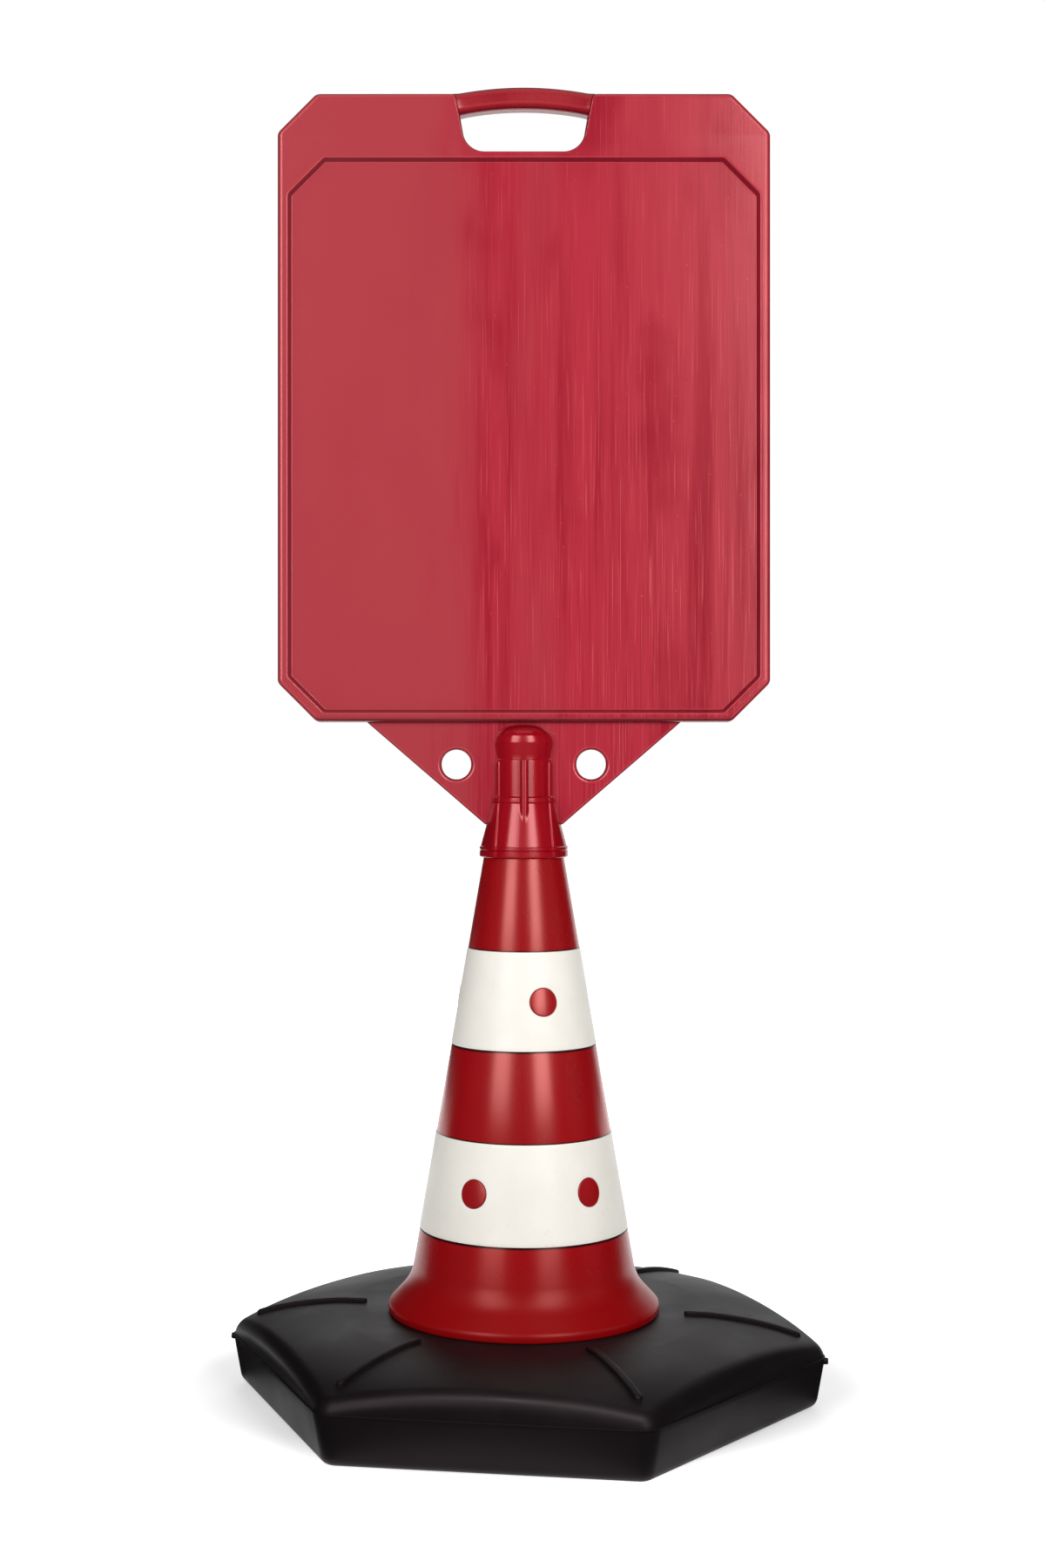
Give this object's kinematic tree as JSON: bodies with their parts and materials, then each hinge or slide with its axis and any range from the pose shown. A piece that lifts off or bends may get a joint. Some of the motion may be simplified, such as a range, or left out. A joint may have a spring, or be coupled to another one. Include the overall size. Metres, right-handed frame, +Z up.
{
  "type": "cone sign",
  "caption": "Free-standing sign: hollow moulded board with carrying grip and sunk panels, socketed on the tip of a sleeved traffic cone on a hexagonal ballast base.",
  "frame": {"origin": "on the ground under the middle of the base, on the cone's axis", "axes": "+Z up along the cone's axis, the sign board faces -Y, +X to the right as seen from the front"},
  "size_m": [0.4472, 0.4204, 0.979],
  "materials": {
    "base_black": "satin moulded polyethylene",
    "ballast": "damp sand, packed",
    "plug_black": "moulded polyethylene",
    "zinc_steel": "zinc plated",
    "cone_red": "semi-gloss moulded polyethylene",
    "sleeve_white": "satin",
    "ring_rubber": "matt",
    "board_red": "blow-moulded polyethylene with vertical flow streaks"
  },
  "bodies": {
    "stand": {"base_shell": "base_black", "ballast_fill": "ballast", "cone_fixing_screws": "zinc_steel", "cone_fixing_washers": "zinc_steel", "cone_body": "cone_red", "lower_band": "sleeve_white", "upper_band": "sleeve_white"},
    "filler": {"filler_plug": "plug_black"},
    "ring": {"grip_ring": "ring_rubber"},
    "sign": {"sign_board": "board_red"}
  },
  "joints": [
    {"name": "sign_swivel", "type": "hinge", "parent": "stand", "child": "ring", "pos_m": [0, 0, 0.458], "axis": [0, 0, 1], "continuous": true},
    {"name": "sign_lift", "type": "slide", "parent": "ring", "child": "sign", "axis": [0, 0, 1], "range_m": [0, 0.1]},
    {"name": "filler_plug_pull", "type": "slide", "parent": "stand", "child": "filler", "axis": [0, 0, 1], "range_m": [0, 0.03]}
  ]
}
